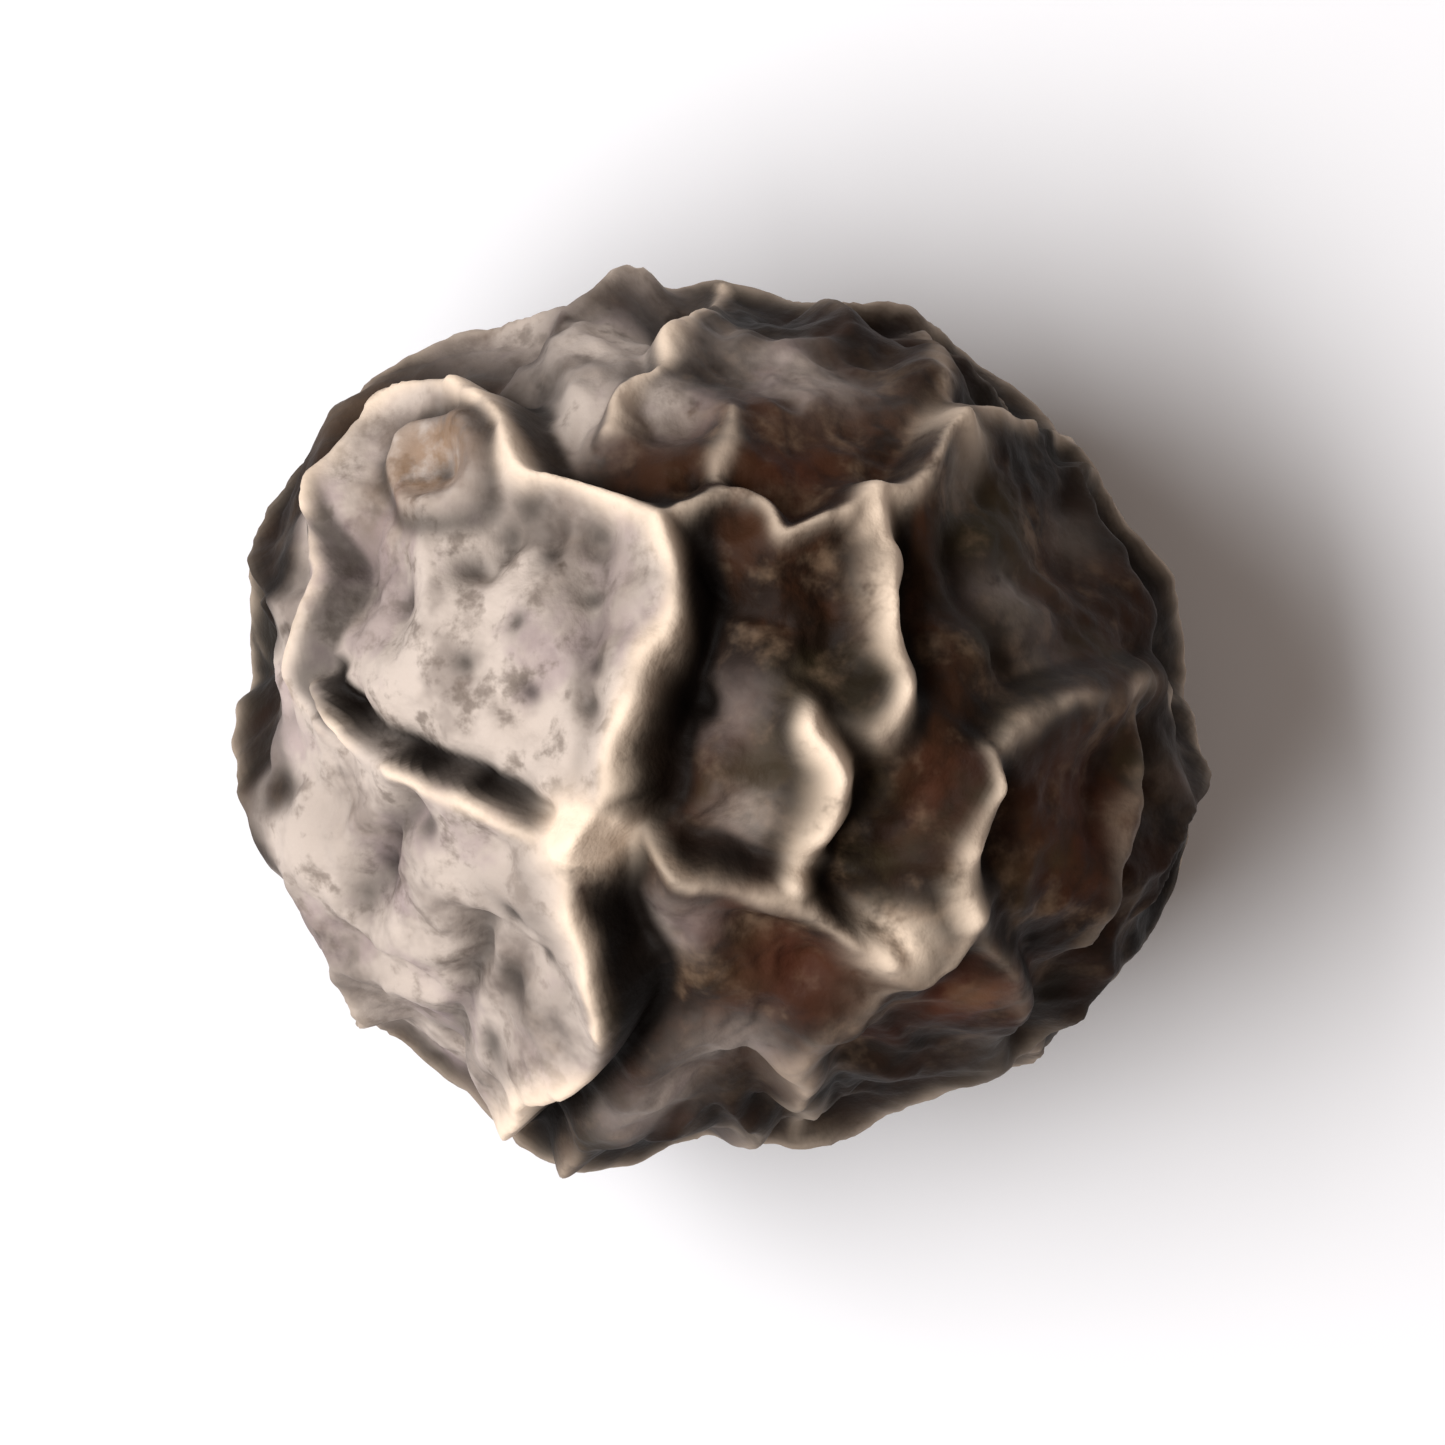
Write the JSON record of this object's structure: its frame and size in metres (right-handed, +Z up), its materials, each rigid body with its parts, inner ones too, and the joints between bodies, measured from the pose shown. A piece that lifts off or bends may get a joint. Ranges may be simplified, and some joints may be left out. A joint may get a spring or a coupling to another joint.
{
  "type": "black peppercorn",
  "caption": "Dried black pepper berry: a small, nearly round body with a raised net of sharp wrinkles round sunken panels, resting on a small flat spot",
  "frame": {"origin": "centre of the bounding box in X and Y, at the level of the flat spot that it rests on", "axes": "+Z up toward the crown that the picture shows, +X along the longest width, +Y toward the upper edge of the picture"},
  "size_m": [0.0054, 0.005, 0.0048],
  "materials": {
    "dried_skin": "dried wrinkled berry skin, dull, dark brown to black with paler crests"
  },
  "bodies": {
    "root": {"peppercorn": "dried_skin"}
  },
  "joints": []
}
